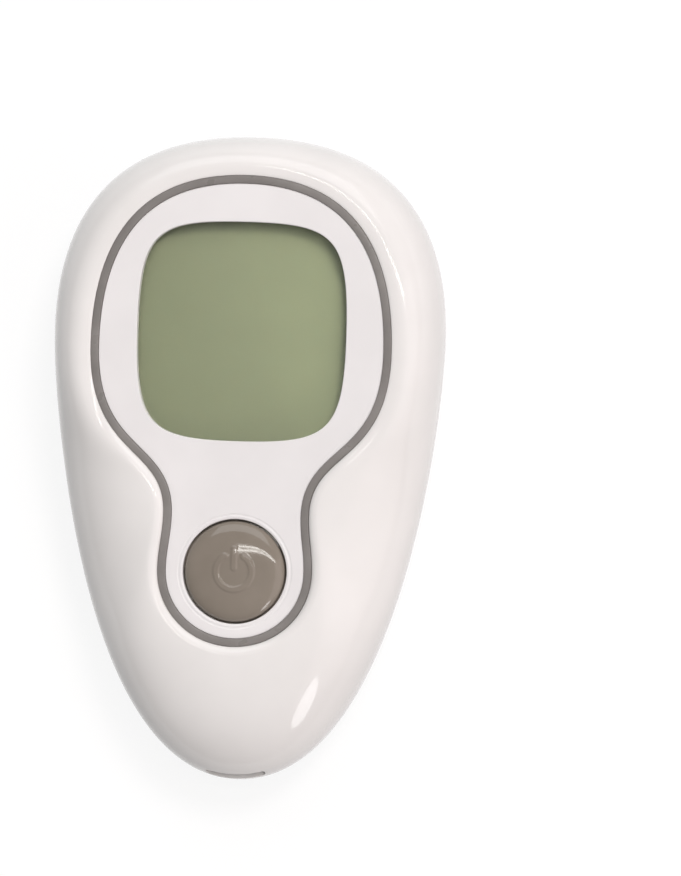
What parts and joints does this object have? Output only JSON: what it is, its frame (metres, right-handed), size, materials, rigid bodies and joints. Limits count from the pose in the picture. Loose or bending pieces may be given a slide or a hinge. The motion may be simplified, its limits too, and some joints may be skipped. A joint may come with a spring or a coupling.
{
  "type": "blood glucose meter",
  "caption": "Pocket blood glucose meter: pebble-shaped case with a keyhole face, display window, push button, strip port and battery door.",
  "frame": {"origin": "on the flat of the back, below the middle of the case's length and width", "axes": "+Z out of the face, +Y towards the wide end above the display, +X to the right when the face is read"},
  "size_m": [0.0526, 0.086, 0.0192],
  "materials": {
    "case_white": "glossy moulded ABS",
    "trim_grey": "satin grey moulded ring",
    "panel_white": "smooth white face panel",
    "lens_clear": "clear acrylic",
    "gasket_foam": "closed cell foam",
    "display_film": "grey-green film",
    "display_glass": "display glass",
    "holder_plastic": "moulded frame",
    "zebra_rubber": "layered silicone strip",
    "button_taupe": "glossy taupe moulded cap",
    "switch_black": "moulded nylon",
    "steel_plate": "stamped steel",
    "board_green": "solder resist over glass epoxy",
    "chip_black": "moulded epoxy",
    "chip_ceramic": "fired ceramic",
    "socket_ivory": "moulded liquid crystal polymer",
    "contact_gold": "gold plated spring bronze",
    "cell_steel": "nickel plated steel can",
    "holder_black": "moulded nylon",
    "screw_steel": "zinc plated steel"
  },
  "bodies": {
    "meter": {"front_shell": "case_white", "trim_ring": "trim_grey", "face_panel": "panel_white", "display_lens": "lens_clear", "display_gasket": "gasket_foam", "front_polariser": "display_film", "front_glass": "display_glass", "rear_glass": "display_glass", "rear_reflector": "display_film", "display_holder": "holder_plastic", "zebra_strips": "zebra_rubber", "switch_housing": "switch_black", "switch_cover": "steel_plate", "snap_dome": "steel_plate", "main_board": "board_green", "controller_chip": "chip_black", "amplifier_chip": "chip_black", "memory_chip": "chip_black", "clock_crystal": "steel_plate", "ceramic_capacitors": "chip_ceramic", "chip_resistors": "chip_black", "buzzer": "switch_black", "strip_connector": "socket_ivory", "strip_contacts": "contact_gold", "coin_cell": "cell_steel", "battery_holder": "holder_black", "positive_contact": "contact_gold", "negative_contact": "contact_gold", "back_shell": "case_white", "case_screws": "screw_steel", "board_screws": "screw_steel"},
    "button": {"button_cap": "button_taupe"},
    "plunger": {"switch_plunger": "switch_black"},
    "door": {"battery_door": "case_white"}
  },
  "joints": [
    {"name": "button_press", "type": "slide", "parent": "meter", "child": "button", "axis": [0, 0, -1], "range_m": [0, 0.0004], "stiffness_N_per_m": 2000, "springref_m": -0.0003, "deforming": ["snap_dome"]},
    {"name": "plunger_travel", "type": "slide", "parent": "meter", "child": "plunger", "axis": [0, 0, -1], "range_m": [0, 0.0004]},
    {"name": "door_tilt", "type": "hinge", "parent": "meter", "child": "door", "pos_m": [0, -0.0055, 0.00025], "axis": [-1, 0, 0], "range_deg": [0, 75]}
  ],
  "couplings": [
    {"joint": "plunger_travel", "follows": "button_press", "ratio": 1}
  ]
}
